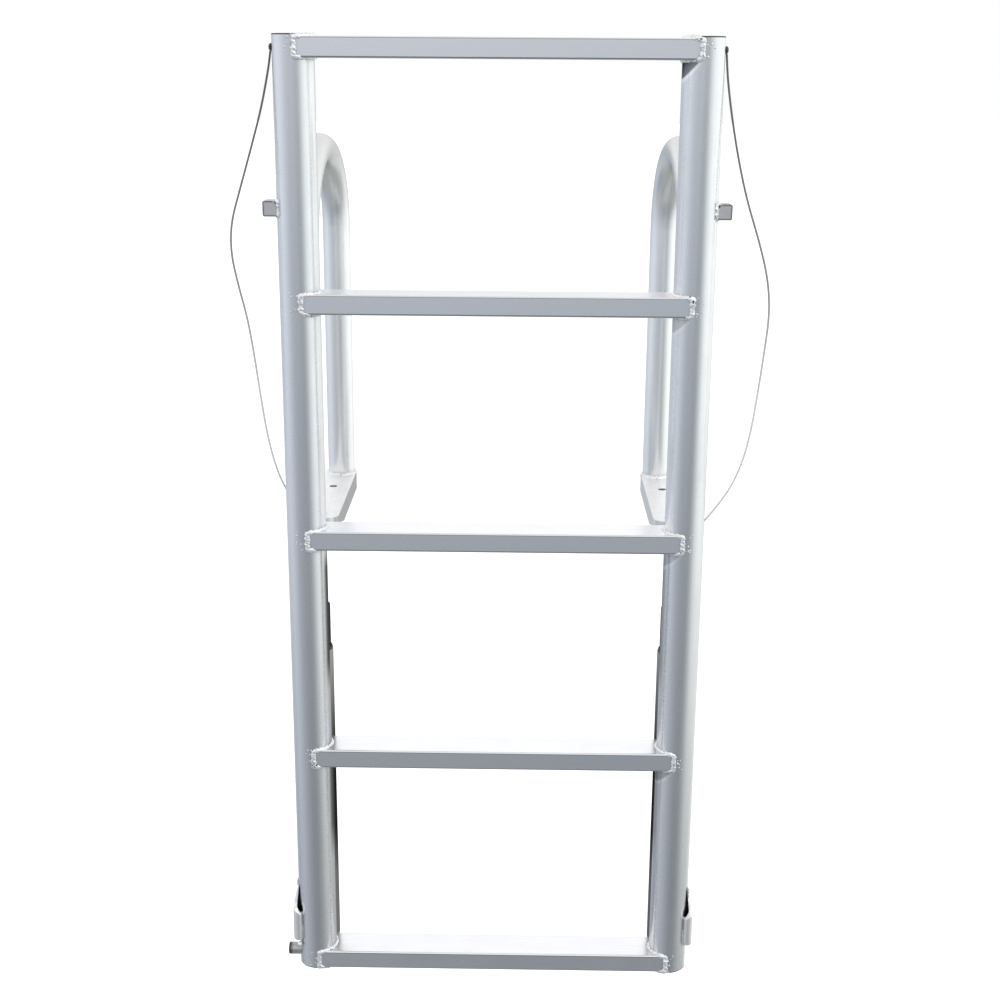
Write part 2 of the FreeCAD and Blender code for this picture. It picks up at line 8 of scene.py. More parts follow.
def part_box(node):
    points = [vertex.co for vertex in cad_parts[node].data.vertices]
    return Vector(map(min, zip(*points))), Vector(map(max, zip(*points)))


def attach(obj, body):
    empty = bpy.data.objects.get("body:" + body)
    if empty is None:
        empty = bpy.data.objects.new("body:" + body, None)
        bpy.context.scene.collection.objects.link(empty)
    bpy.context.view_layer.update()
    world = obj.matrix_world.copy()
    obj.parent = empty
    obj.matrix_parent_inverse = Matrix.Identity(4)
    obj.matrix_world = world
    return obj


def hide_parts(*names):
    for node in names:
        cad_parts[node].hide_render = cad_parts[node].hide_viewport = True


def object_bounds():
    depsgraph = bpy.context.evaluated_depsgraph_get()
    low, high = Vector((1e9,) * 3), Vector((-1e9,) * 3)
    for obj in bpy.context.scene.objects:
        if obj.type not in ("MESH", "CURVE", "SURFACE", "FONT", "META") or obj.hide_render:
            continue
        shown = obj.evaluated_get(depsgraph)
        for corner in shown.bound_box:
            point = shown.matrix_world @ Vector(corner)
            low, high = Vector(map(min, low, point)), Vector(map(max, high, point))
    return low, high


# The dock ladder: welded aluminium rails, rungs and guide sleeves that slide
# on two fixed hoops with deck feet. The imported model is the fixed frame.
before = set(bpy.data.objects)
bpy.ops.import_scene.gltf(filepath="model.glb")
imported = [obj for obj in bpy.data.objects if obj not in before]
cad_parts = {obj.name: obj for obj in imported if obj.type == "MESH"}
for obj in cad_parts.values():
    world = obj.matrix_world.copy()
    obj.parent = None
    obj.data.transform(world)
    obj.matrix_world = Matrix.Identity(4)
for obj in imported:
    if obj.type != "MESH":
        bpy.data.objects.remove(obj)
cad_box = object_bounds()
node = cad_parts


# The studio: a white surround, a pale floor below the ladder's lowest reach, and
# the camera at the height of the top rung. The table is the light that bare metal
# reflects: bearing, amount level-on and 16 and 29 degrees down, and its tint.
COOL = (0.927, 0.995, 1.085)
PALE = (0.95, 1.02, 1.03)
WARM = (0.99, 1.02, 0.99)
SURROUND = [(-180, 0.45, 0.45, 0.45, COOL), (-165, 0.55, 0.60, 0.55, COOL),
            (-150, 0.70, 0.76, 0.70, COOL), (-138, 0.58, 0.70, 0.50, COOL),
            (-126, 0.70, 0.70, 0.36, COOL), (-102, 0.88, 0.75, 0.42, COOL),
            (-90, 0.90, 0.79, 0.49, COOL), (-66, 0.81, 0.64, 0.50, COOL),
            (-42, 0.62, 0.44, 0.43, COOL), (-18, 0.54, 0.38, 0.32, COOL),
            (-6, 0.57, 0.38, 0.25, COOL), (6, 0.48, 0.375, 0.245, COOL),
            (18, 0.41, 0.36, 0.25, COOL), (30, 0.48, 0.42, 0.27, PALE),
            (42, 0.80, 0.60, 0.31, PALE), (54, 1.02, 0.84, 0.36, PALE),
            (66, 1.18, 1.04, 0.43, WARM), (90, 1.28, 1.16, 0.48, WARM),
            (114, 1.28, 1.12, 0.55, WARM), (138, 1.22, 1.00, 0.86, WARM),
            (150, 0.90, 0.82, 0.90, WARM), (165, 0.76, 0.74, 0.76, WARM),
            (176, 0.60, 0.60, 0.60, COOL), (180, 0.45, 0.45, 0.45, COOL)]
ELEVATIONS = [(-90, 1.0), (1, 1.0), (15, 1.12), (35, 1.05), (60, 0.88), (90, 0.8)]
EVEN_ABOVE = (0.5, 0.5, 0.5, 1)
EVEN_BELOW = (0.222, 0.235, 0.228, 1)


def feed(tree, socket, value):
    """Joins a value to a socket, or sets the socket where the value is a number
    or a colour."""
    if isinstance(value, bpy.types.NodeSocket):
        tree.links.new(value, socket)
    else:
        socket.default_value = value


def maths(tree, operation, *values):
    """One step of arithmetic on sockets and numbers."""
    sum_node = tree.nodes.new("ShaderNodeMath")
    sum_node.operation = operation
    for socket, value in zip(sum_node.inputs, values):
        feed(tree, socket, value)
    return sum_node.outputs[0]


def stretch(tree, value, start, end, first=0.0, last=1.0):
    """Runs from first to last as a value goes from start to end, and holds
    beyond the two."""
    span = tree.nodes.new("ShaderNodeMapRange")
    for name, number in (("From Min", start), ("From Max", end), ("To Min", first), ("To Max", last)):
        span.inputs[name].default_value = number
    tree.links.new(value, span.inputs["Value"])
    return span.outputs[0]


def blend(tree, share, first, second, data="RGBA", how="MIX"):
    """Mixes two colours, or two numbers, by the share of the second."""
    mix = tree.nodes.new("ShaderNodeMix")
    mix.data_type = data
    mix.blend_type = how
    for name, value in (("Factor", share), ("A", first), ("B", second)):
        feed(tree, mix.inputs[name], value)
    return mix.outputs["Result"]


def ramp_by(tree, value, stops):
    """A colour that follows a value from 0 to 1 through (place, colour) stops."""
    ramp = tree.nodes.new("ShaderNodeValToRGB")
    elements = ramp.color_ramp.elements
    elements.remove(elements[1])
    for index, (place, colour) in enumerate(stops):
        element = elements[0] if index == 0 else elements.new(place)
        element.position = place
        element.color = (*colour, 1)
    tree.links.new(value, ramp.inputs[0])
    return ramp.outputs["Color"]


def parts_of(tree, source):
    """The X, Y and Z of a direction, or of the object's own coordinates."""
    where = tree.nodes.new("ShaderNodeTexCoord")
    parts = tree.nodes.new("ShaderNodeSeparateXYZ")
    tree.links.new(where.outputs[source], parts.inputs[0])
    return parts.outputs


def studio_world():
    """A plain white surround for the camera. All other rays get the table's
    light: ramps by bearing at three heights, mixed by how far a direction
    points up or down, turning even above level, times a ramp by elevation.
    Both kinds of ramp hold half their amounts so as to stay below 1, and the
    strength of 4 makes up for it."""
    world = bpy.data.worlds.new("studio")
    bpy.context.scene.world = world
    world.use_nodes = True
    tree = world.node_tree
    tree.nodes.clear()
    add, join = tree.nodes.new, tree.links.new
    parts = parts_of(tree, "Generated")
    flat = add("ShaderNodeCombineXYZ")
    join(maths(tree, "MULTIPLY", parts["Y"], -1.0), flat.inputs["X"])
    join(parts["X"], flat.inputs["Y"])
    bearing = add("ShaderNodeTexGradient")
    bearing.gradient_type = "RADIAL"
    join(flat.outputs[0], bearing.inputs[0])

    def rise(degrees):
        return math.sin(math.radians(degrees))

    def halved(amount, tint=(1, 1, 1)):
        return tuple(0.5 * amount * part for part in tint)

    def layer(column):
        return ramp_by(tree, bearing.outputs["Fac"],
                       [(row[0] / 360 + 0.5, halved(row[column], row[4])) for row in SURROUND])

    light = EVEN_BELOW
    for low, high, above in ((-50, -36, layer(3)), (-31.5, -16, layer(2)),
                             (-16, -3, layer(1)), (1, 15, EVEN_ABOVE)):
        light = blend(tree, stretch(tree, parts["Z"], rise(low), rise(high)), light, above)
    by_height = ramp_by(tree, stretch(tree, parts["Z"], -1.0, 1.0),
                        [(0.5 + 0.5 * rise(degrees), halved(amount))
                         for degrees, amount in ELEVATIONS])
    lit = add("ShaderNodeBackground")
    lit.inputs["Strength"].default_value = 4.0
    join(blend(tree, 1.0, light, by_height, how="MULTIPLY"), lit.inputs["Color"])
    seen = add("ShaderNodeBackground")
    seen.inputs["Color"].default_value = (1, 1, 1, 1)
    path = add("ShaderNodeLightPath")
    pick = add("ShaderNodeMixShader")
    join(path.outputs["Is Camera Ray"], pick.inputs["Fac"])
    join(lit.outputs[0], pick.inputs[1])
    join(seen.outputs[0], pick.inputs[2])
    out = add("ShaderNodeOutputWorld")
    join(pick.outputs[0], out.inputs["Surface"])


studio_world()


def floor_material():
    """White for the camera, dimmed a little where the object shades it: grey
    paint with a glow that only the camera sees."""
    mat = bpy.data.materials.new("studio_floor")
    mat.use_nodes = True
    tree = mat.node_tree
    tree.nodes.clear()
    add, join = tree.nodes.new, tree.links.new
    paint = add("ShaderNodeBsdfDiffuse")
    paint.inputs["Color"].default_value = (0.8, 0.8, 0.8, 1)
    path = add("ShaderNodeLightPath")
    glow = add("ShaderNodeEmission")
    join(maths(tree, "MULTIPLY", path.outputs["Is Camera Ray"], 0.55), glow.inputs["Strength"])
    both = add("ShaderNodeAddShader")
    join(paint.outputs[0], both.inputs[0])
    join(glow.outputs[0], both.inputs[1])
    out = add("ShaderNodeOutputMaterial")
    join(both.outputs[0], out.inputs["Surface"])
    return mat


def put_in_scene(name, data):
    """Makes an object of a mesh, curve, lamp or camera and links it in."""
    thing = bpy.data.objects.new(name, data)
    bpy.context.scene.collection.objects.link(thing)
    return thing


middle_x = 0.24
floor_half, slide_travel, floor_gap = 40.0, 0.385, 0.0015
floor_mesh = bpy.data.meshes.new("studio_floor")
floor_mesh.from_pydata([(x * floor_half, y * floor_half, 0)
                        for x, y in ((-1, -1), (1, -1), (1, 1), (-1, 1))], [], [(0, 1, 2, 3)])
floor_mesh.transform(Matrix.Translation((middle_x, 0, cad_box[0].z - slide_travel - floor_gap)))
floor = put_in_scene("studio_floor", floor_mesh)
floor.data.materials.append(floor_material())
floor.visible_glossy = False

lamp = bpy.data.lights.new("key", "AREA")
lamp.shape = "DISK"
lamp.size = 1.6
lamp.energy = 18
lamp.cycles.max_bounces = 0
key = put_in_scene("key", lamp)
key.location = (2.4, -1.2, 2.8)
aim = Vector((middle_x, -0.1, 0.0)) - key.location
key.rotation_euler = aim.to_track_quat("-Z", "Y").to_euler()

camera = bpy.data.cameras.new("view")
camera.lens = 55.476
camera.sensor_width = 36.0
eye = put_in_scene("view", camera)
yaw, pitch, roll = -0.01219, 0.2783, 0.007039
ahead = Vector((math.sin(yaw) * math.cos(pitch), math.cos(yaw) * math.cos(pitch),
                -math.sin(pitch)))
level = Vector((math.cos(yaw), -math.sin(yaw), 0.0))
above = level.cross(ahead)
right = level * math.cos(roll) + above * math.sin(roll)
upward = above * math.cos(roll) - level * math.sin(roll)
turn = Matrix((right, upward, -ahead)).transposed()
eye.matrix_world = Matrix.Translation((0.2692, -2.068, 0.6077)) @ turn.to_4x4()
bpy.context.scene.camera = eye
bpy.context.scene.view_settings.view_transform = "Standard"


# Rails: 2 in round aluminium tube, clear anodised to a satin finish. The
# drawing leaves fine streaks along the tube, and handling leaves dull patches.
HEIGHTS = (-0.62, 0.64)
FACING = (-1.0, 1.0)
FACE_ON = ("Base Color",)
FACE_AND_EDGE = ("Base Color", "Specular Tint")


def new_material(name, metallic=0.0):
    """A material with its node tree and its shader."""
    mat = bpy.data.materials.new(name)
    mat.use_nodes = True
    shader = mat.node_tree.nodes["Principled BSDF"]
    shader.inputs["Metallic"].default_value = metallic
    return mat, mat.node_tree, shader


def noise(tree, scale, detail, rough=0.5, along=None):
    """Noise on the object's own coordinates, drawn out fifty times along an
    axis where one is given."""
    where = tree.nodes.new("ShaderNodeTexCoord")
    drawn = tree.nodes.new("ShaderNodeMapping")
    drawn.inputs["Scale"].default_value = tuple(0.02 if axis == along else 1.0 for axis in "XYZ")
    tree.links.new(where.outputs["Object"], drawn.inputs["Vector"])
    grain = tree.nodes.new("ShaderNodeTexNoise")
    for name, number in (("Scale", scale), ("Detail", detail), ("Roughness", rough)):
        grain.inputs[name].default_value = number
    tree.links.new(drawn.outputs[0], grain.inputs["Vector"])
    return grain.outputs["Fac"]


def raise_grain(tree, height, strength, distance):
    """Lets a height raise the surface as a fine grain."""
    grain = tree.nodes.new("ShaderNodeBump")
    grain.inputs["Strength"].default_value = strength
    grain.inputs["Distance"].default_value = distance
    tree.links.new(height, grain.inputs["Height"])
    tree.links.new(grain.outputs[0], tree.nodes["Principled BSDF"].inputs["Normal"])


def grey_by(tree, value, span, stops):
    """A grey that follows a value. The value is put on 0 to 1 over the span,
    and each stop gives the grey at a place in it."""
    low, high = span
    return ramp_by(tree, stretch(tree, value, low, high),
                   [((at - low) / (high - low), (grey, grey, grey)) for at, grey in stops])


def shade(mat, value, span, stops, share=1.0, sockets=FACE_ON):
    """Multiplies a material's colour by a grey that follows a value. The share
    limits how much of it is done. The shader's tint socket takes it too where
    the metal should be as dark when it is seen edge-on."""
    tree = mat.node_tree
    for name in sockets:
        socket = tree.nodes["Principled BSDF"].inputs[name]
        before = socket.links[0].from_socket if socket.links else tuple(socket.default_value)
        greys = grey_by(tree, value, span, stops)
        tree.links.new(blend(tree, share, before, greys, how="MULTIPLY"), socket)


def satin_aluminium(name, along, colour=(0.80, 0.81, 0.835), rough=0.2, tilt=None, shade_by_facing_x=None,
                    height=None, mottle=0.0, coarse=26.0, crevice_shade_reach=0.0):
    """Metal whose colour and roughness vary with two noises: one drawn out
    along the given axis as streaks, and one broad and even as dull patches.
    Stops may paint shade on it by how far the surface faces up, by how far it
    faces +X, or by height, the last also where it is seen edge-on. Mottle darkens
    the patches, and painted shade from ambient occlusion darkens gaps up to the
    given reach."""
    mat, tree, shader = new_material(name, metallic=1.0)
    streaks = noise(tree, 420.0, 3.0, along=along)
    patches = noise(tree, coarse, 5.0, 0.62)
    wear = blend(tree, 0.5 + mottle, streaks, patches, data="FLOAT")
    tone = ramp_by(tree, wear, [(0.3, [(0.96 - mottle) * part for part in colour]),
                                (0.7, [min(1.0, 1.02 * part) for part in colour])])
    tree.links.new(tone, shader.inputs["Base Color"])
    for source, axis, span, stops, sockets in (("Normal", "Z", FACING, tilt, FACE_ON),
                                               ("Normal", "X", FACING, shade_by_facing_x, FACE_ON),
                                               ("Object", "Z", HEIGHTS, height, FACE_AND_EDGE)):
        if stops:
            shade(mat, parts_of(tree, source)[axis], span, stops, sockets=sockets)
    # Painted shade in narrow gaps, from ambient occlusion.
    if crevice_shade_reach:
        crevice_shade = tree.nodes.new("ShaderNodeAmbientOcclusion")
        crevice_shade.samples = 6
        crevice_shade.inputs["Distance"].default_value = crevice_shade_reach
        shade(mat, crevice_shade.outputs["AO"], (0.0, 1.0),
              [(0.0, 0.03), (0.3, 0.25), (0.6, 0.7), (0.9, 1.0)])
    tree.links.new(stretch(tree, wear, 0.3, 0.7, rough + 0.06, rough - 0.04),
                   shader.inputs["Roughness"])
    raise_grain(tree, wear, 0.04 + mottle, 0.0003)
    return mat


def finish_node(names, mat):
    """Gives CAD nodes this material in each of their slots."""
    for name in names:
        for place in node[name].material_slots:
            place.material = mat


def paint_shade_on_inner_sides(mat, by_distance, by_height, on_right):
    """Painted shade on the sides that face the middle, below the deck: a shade by
    the distance from the ladder's middle plane, as much of it as the height gives,
    and less of it on the right-hand side. It goes on the tint socket too, so the
    metal stays dark where it is seen edge-on."""
    tree = mat.node_tree
    inner_reach, halfway = (0.218, 0.27), 0.1
    place = parts_of(tree, "Object")
    across = maths(tree, "SUBTRACT", place["X"], middle_x)
    by_side = stretch(tree, across, -halfway, halfway, 1.0, on_right)
    share = maths(tree, "MULTIPLY", grey_by(tree, place["Z"], HEIGHTS, by_height), by_side)
    shade(mat, maths(tree, "ABSOLUTE", across), inner_reach, by_distance, share, FACE_AND_EDGE)


def paint_shadow_under_rungs(mat, by_height):
    """A painted shadow below the rungs' right ends, cut off at a slant, with a
    painted highlight along its lower edge: a shade by the sum of the distance in
    from the rail's inner edge and the distance below the rung, each over its reach,
    on the right rail's front. The height gives how much of it there is at each rung."""
    inner_edge, rung_foot, rung_pitch = 0.4589, 0.6083, 0.3048
    shadow_wide, shadow_tall = 0.0216, 0.024
    tree = mat.node_tree
    place = parts_of(tree, "Object")
    below = maths(tree, "WRAP", maths(tree, "SUBTRACT", rung_foot, place["Z"]), rung_pitch, 0.0)
    past_edge = maths(tree, "SUBTRACT", place["X"], inner_edge)
    slant = maths(tree, "ADD", maths(tree, "DIVIDE", past_edge, shadow_wide),
                  maths(tree, "DIVIDE", below, shadow_tall))
    on_right = stretch(tree, place["X"], middle_x, middle_x + 0.01)
    in_front = stretch(tree, place["Y"], rail_y, rail_y - 0.004)
    share = maths(tree, "MULTIPLY", grey_by(tree, place["Z"], HEIGHTS, by_height), on_right)
    share = maths(tree, "MULTIPLY", share, in_front)
    shade(mat, slant, (0.0, 1.5),
          [(0.0, 0.1), (0.5, 0.24), (0.85, 0.34), (0.95, 1.22), (1.06, 1.22), (1.18, 1.0)],
          share, FACE_AND_EDGE)


rail_y, rail_radius = -0.160, 0.0254
rail_axis = {"left": (-0.0043, rail_y), "right": (0.4843, rail_y)}
inward = {"left": 1.0, "right": -1.0}
# Painted shade on the rails: in narrow gaps, on the sides that face the middle below the deck, and a
# painted shadow with a painted highlight along its edge below the right-hand rung ends.
rail_metal = satin_aluminium("rail_aluminium", "Z", rough=0.26, crevice_shade_reach=0.008)
paint_shade_on_inner_sides(rail_metal, on_right=0.55,
                 by_distance=[(0.218, 0.03), (0.2204, 0.07), (0.2220, 0.55), (0.2238, 1.0)],
                 by_height=[(-0.62, 0.3), (-0.45, 0.35), (-0.40, 0.75), (-0.31, 0.75), (-0.26, 0.35),
                            (-0.20, 0.35), (-0.16, 0.8), (-0.03, 0.8), (0.01, 0.0)])
paint_shadow_under_rungs(rail_metal, [(-0.62, 0.4), (-0.30, 0.5), (-0.02, 0.35), (0.30, 0.35),
                              (0.50, 1.0), (0.64, 1.0)])
finish_node(["left_rail", "right_rail"], rail_metal)


# Rail plugs: black moulded caps pressed into the open ends of the rails, with
# a flange as thin as the tube's wall.
def moulded_plastic(name, colour):
    """Plastic with a fine even grain in its colour, its gloss and its surface."""
    mat, tree, shader = new_material(name)
    grain = noise(tree, 900.0, 3.0)
    tone = ramp_by(tree, grain, [(0.0, [0.7 * part for part in colour]),
                                 (1.0, [1.3 * part for part in colour])])
    tree.links.new(tone, shader.inputs["Base Color"])
    tree.links.new(stretch(tree, grain, 0.0, 1.0, 0.45, 0.65), shader.inputs["Roughness"])
    raise_grain(tree, grain, 0.25, 0.0002)
    return mat


cap_plastic = moulded_plastic("cap_plastic", (0.045, 0.045, 0.05))
finish_node(["left_rail_top_plug", "right_rail_top_plug",
             "left_rail_bottom_plug", "right_rail_bottom_plug"], cap_plastic)


# Rungs: flat 2 x 1 in aluminium tube with eased corners, drawn lengthwise,
# coped to the rails and welded all round. Painted shade by how far the surface
# faces up darkens their rounded corners, and painted shade darkens narrow gaps.
rung_metal = satin_aluminium("rung_aluminium", "X", (0.93, 0.94, 0.965), 0.24, crevice_shade_reach=0.008,
                             tilt=[(-1.0, 0.9), (-0.5, 0.5), (-0.12, 0.5), (-0.05, 1.0), (0.04, 1.0),
                                   (0.09, 0.36), (0.36, 0.36), (0.5, 1.0), (1.0, 1.0)])
finish_node(["rung_1", "rung_2", "rung_3", "rung_4", "rung_5"], rung_metal)


# Rung welds: a lumpy bead round each rung end where it meets the rail, laid by
# hand in the shop, so its width wanders and drops of spatter lie beside it.
def rounded_outline(wide, tall, corner, count):
    """Points at even steps round a rectangle with rounded corners, with the
    outward normal at each."""
    quarter = np.linspace(0, np.pi / 2, 7)
    arcs, facing = [], []
    for turn, (sx, sy) in enumerate(((1, 1), (-1, 1), (-1, -1), (1, -1))):
        angle = quarter + turn * np.pi / 2
        ring = np.stack([np.cos(angle), np.sin(angle)], 1)
        arcs.append(ring * corner + [sx * (wide / 2 - corner), sy * (tall / 2 - corner)])
        facing.append(ring)
    loop = np.concatenate(arcs + [arcs[0][:1]])
    normals = np.concatenate(facing + [facing[0][:1]])
    gone = np.concatenate([[0], np.cumsum(np.linalg.norm(np.diff(loop, axis=0), axis=1))])
    at = np.linspace(0, gone[-1], count, endpoint=False)
    spot = np.stack([np.interp(at, gone, loop[:, k]) for k in (0, 1)], 1)
    out = np.stack([np.interp(at, gone, normals[:, k]) for k in (0, 1)], 1)
    return spot, out / np.linalg.norm(out, axis=1, keepdims=True)


def piece_from_grid(name, grids, mat, body):
    """One mesh from grids of points (rows along, columns round). A closed grid
    joins its last row to its first; an open one is closed with its end rings."""
    verts, faces, start = [], [], 0
    for points, closed in grids:
        rows, columns = points.shape[:2]
        along = np.arange(rows if closed else rows - 1)[:, None]
        about = np.arange(columns)[None, :]
        a = along * columns + about
        b = along * columns + (about + 1) % columns
        c = ((along + 1) % rows) * columns + (about + 1) % columns
        d = ((along + 1) % rows) * columns + about
        quads = np.stack([a, b, c, d], -1).reshape(-1, 4) + start
        faces += quads.tolist()
        if not closed:
            faces.append(list(range(start + columns - 1, start - 1, -1)))
            last = start + (rows - 1) * columns
            faces.append(list(range(last, last + columns)))
        verts.append(points.reshape(-1, 3))
        start += rows * columns
    mesh = bpy.data.meshes.new(name)
    mesh.from_pydata(np.concatenate(verts).tolist(), [], faces)
    mesh.polygons.foreach_set("use_smooth", np.ones(len(mesh.polygons), bool))
    mesh.update()
    piece = put_in_scene(name, mesh)
    mesh.materials.append(mat)
    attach(piece, body)
    return piece


def bead(path, facing, thick, closed, seed, flat=0.7, pitch=0.005, columns=16):
    """A weld bead: an oval section carried along the path. Its radius has a
    low arch over each puddle, puddles of uneven length and size, a slow random
    drift, and lumps that are a sum of waves along and around with random
    phases. facing points out of the joint, and flat is the height over the
    width. An open bead is rounded down at its ends."""
    rng = np.random.default_rng(seed)
    ahead = np.roll(path, -1, 0) - np.roll(path, 1, 0) if closed else np.gradient(path, axis=0)
    ahead = ahead / np.linalg.norm(ahead, axis=1, keepdims=True)
    facing = facing - ahead * (facing * ahead).sum(1, keepdims=True)
    facing = facing / np.linalg.norm(facing, axis=1, keepdims=True)
    across = np.cross(ahead, facing)
    step = np.linalg.norm(np.roll(path, -1, 0) - path, axis=1)
    run = np.concatenate([[0], np.cumsum(step[:-1])])
    whole = run[-1] + step[-1] if closed else run[-1]
    puddles = max(2, round(whole / pitch))
    ends_at = np.concatenate([[0], np.cumsum(rng.uniform(0.45, 1.6, puddles))])
    phase = np.interp(run, ends_at * whole / ends_at[-1], np.arange(puddles + 1))
    arch = np.abs(np.sin(np.pi * phase)) ** 0.7
    size = rng.normal(0, 1, puddles + 2)
    size[-1] = size[0]
    drift = np.interp(phase, np.arange(puddles + 2) - 0.5, size)
    radius = thick * (0.84 + 0.14 * arch + 0.14 * np.clip(drift, -1.5, 1.8))
    if not closed:
        ends = np.clip(np.minimum(run, whole - run) / (1.6 * thick), 0, 1)
        radius = radius * np.sqrt(1 - (1 - ends) ** 2 + 0.004)
    angle = np.linspace(0, 2 * np.pi, columns, endpoint=False)[None, :]
    lump = 1.0
    for turns in (1, 2, 3, 4):
        for _ in range(3):
            waves = round(whole / rng.uniform(0.003, 0.009))
            lump = lump + 0.045 * np.sin(2 * np.pi * waves * run[:, None] / whole
                                         + turns * angle + rng.uniform(0, 6.28))
    high = (radius[:, None] * np.cos(angle) * lump * flat)[..., None]
    wide = (radius[:, None] * np.sin(angle) * lump)[..., None]
    return path[:, None, :] + facing[:, None, :] * high + across[:, None, :] * wide


def bar_weld(side, way, height, outline, thick, seed):
    """A bead round the end of a bar on a rail: the bar's outline laid on the
    rail's round side, facing half off the rail and half off the bar. way is 1
    or -1 for the side of the rail in x."""
    spot, off = outline
    x0, y0 = rail_axis[side]
    reach = np.sqrt(rail_radius ** 2 - spot[:, 0] ** 2)
    path = np.stack([x0 + way * reach, y0 + spot[:, 0], height + spot[:, 1]], 1)
    off_rail = np.stack([way * reach, spot[:, 0], 0 * reach], 1) / rail_radius
    off_bar = np.stack([0 * reach, off[:, 0], off[:, 1]], 1)
    return bead(path, off_rail + off_bar, thick, True, seed), True


def upright_weld(x, y, low, high, count, facing, thick, seed):
    """An open bead straight up from one height to another."""
    z = np.linspace(low, high, count)
    path = np.stack([np.full(count, x), np.full(count, y), z], 1)
    return bead(path, np.tile(np.array(facing, float), (count, 1)), thick, False, seed), False


def spatter(spots, facing, sizes):
    """Drops of spatter: flattened balls set on a surface. Each ring is the
    cosine of its latitude wide and the sine high, along the facing."""
    side = np.cross(facing, [0.31, 0.17, 0.93])
    side = side / np.linalg.norm(side, axis=1, keepdims=True)
    other = np.cross(facing, side)
    spots, facing, side, other = (rows[:, None, None, :] for rows in (spots, facing, side, other))
    tilt = np.radians([-75, -35, 5, 40, 70])[None, :, None, None]
    about = np.linspace(0, 2 * np.pi, 8, endpoint=False)[None, None, :, None]
    around = np.cos(about) * side + np.sin(about) * other
    balls = spots + sizes[:, None, None, None] * (np.cos(tilt) * around + 0.7 * np.sin(tilt) * facing)
    return [(ball, False) for ball in balls]


def weld_metal():
    """Bare weld metal: brighter and rougher than the tube, with a coarse
    uneven grain, and dark specks of soot where two noises are both low."""
    mat, tree, shader = new_material("weld_aluminium", metallic=1.0)
    grain = noise(tree, 380.0, 4.0)
    patches = noise(tree, 120.0, 2.0)
    tone = ramp_by(tree, blend(tree, 0.4, grain, patches, data="FLOAT"),
                   [(0.35, (0.08, 0.08, 0.09)), (0.42, (0.93, 0.935, 0.95))])
    tree.links.new(tone, shader.inputs["Base Color"])
    tree.links.new(stretch(tree, grain, 0.0, 1.0, 0.6, 0.4), shader.inputs["Roughness"])
    raise_grain(tree, grain, 0.35, 0.0008)
    return mat


bright_weld = weld_metal()
rung_outline = rounded_outline(wide=0.0502, tall=0.0254, corner=0.0026, count=260)
drop_count = 7
for step in range(1, 6):
    low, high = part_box("rung_%d" % step)
    rung_z = (low.z + high.z) / 2
    rings = []
    for k, side in enumerate(("left", "right")):
        rings.append(bar_weld(side, inward[side], rung_z, rung_outline, thick=0.0035,
                              seed=10 * step + k))
        rng = np.random.default_rng(200 + 10 * step + k)
        around = rng.uniform(1.5, 2.0, drop_count)
        out = np.stack([inward[side] * np.cos(around), -np.sin(around), 0 * around], 1)
        drops = np.array([*rail_axis[side], rung_z]) + rail_radius * out
        drops[:, 2] += rng.uniform(-0.013, 0.015, drop_count)
        rings += spatter(drops, out, rng.uniform(0.0006, 0.0014, drop_count))
    piece_from_grid("rung_%d_welds" % step, rings, bright_weld, "sliding_ladder")


# Guide sleeves: 1 1/2 in pipe stitched to the back of each lower rail, with a
# flanged black bushing pressed into each end for the hoop's leg to run in. Short
# runs of weld hold each sleeve on both sides. The sleeves' dark metal is painted
# shade: a dark colour, darker towards the bottom and on the sides that face the
# middle, also where they are seen edge-on.
sleeve_painted_shade_metal = satin_aluminium("sleeve_aluminium", "Z", (0.62, 0.62, 0.60), 0.32,
                               mottle=0.15, coarse=60.0,
                               height=[(-0.62, 0.5), (-0.50, 0.45), (-0.24, 0.45), (-0.16, 0.7)])
paint_shade_on_inner_sides(sleeve_painted_shade_metal, on_right=0.9,
                 by_distance=[(0.218, 0.3), (0.230, 0.33), (0.242, 1.0)],
                 by_height=[(-0.62, 0.0), (-0.50, 0.1), (-0.43, 1.0), (-0.31, 1.0), (-0.24, 0.1),
                            (-0.16, 0.0)])
finish_node(["left_guide_sleeve", "right_guide_sleeve"], sleeve_painted_shade_metal)
finish_node(["left_upper_bushing", "left_lower_bushing",
             "right_upper_bushing", "right_lower_bushing"], cap_plastic)
seam_out, seam_y = 0.0085, -0.1346
for side in ("left", "right"):
    low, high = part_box(side + "_guide_sleeve")
    sleeve_x = (low.x + high.x) / 2
    runs = []
    for k, (bottom, top) in enumerate(((high.z - 0.032, high.z - 0.003), (-0.395, -0.365),
                                       (low.z + 0.004, low.z + 0.034))):
        for way in (-1, 1):
            runs.append(upright_weld(sleeve_x + way * seam_out, seam_y, bottom, top, count=40,
                                     facing=(way, 0, 0), thick=0.0032,
                                     seed=300 + 10 * k + way + len(side)))
    piece_from_grid(side + "_sleeve_welds", runs, bright_weld, "sliding_ladder")


# Hoops: 1 1/2 in round tube bent to a half circle at the top, one leg down
# through the deck foot into the sleeve and the other down onto the foot. A
# stop collar is welded to the front leg just above the sleeve. Painted shade
# darkens the hoops below the deck, also where they are seen edge-on, a little
# over the top of the arch, and in narrow gaps. The collar is painted near black
# as shade.
hoop_metal = satin_aluminium("hoop_aluminium", "Z", (0.92, 0.925, 0.935), 0.33, crevice_shade_reach=0.010,
                             height=[(-0.62, 0.18), (-0.03, 0.18), (0.0, 1.0), (0.34, 1.0),
                                     (0.42, 0.9), (0.5, 0.86)])
finish_node(["left_hoop", "right_hoop"], hoop_metal)
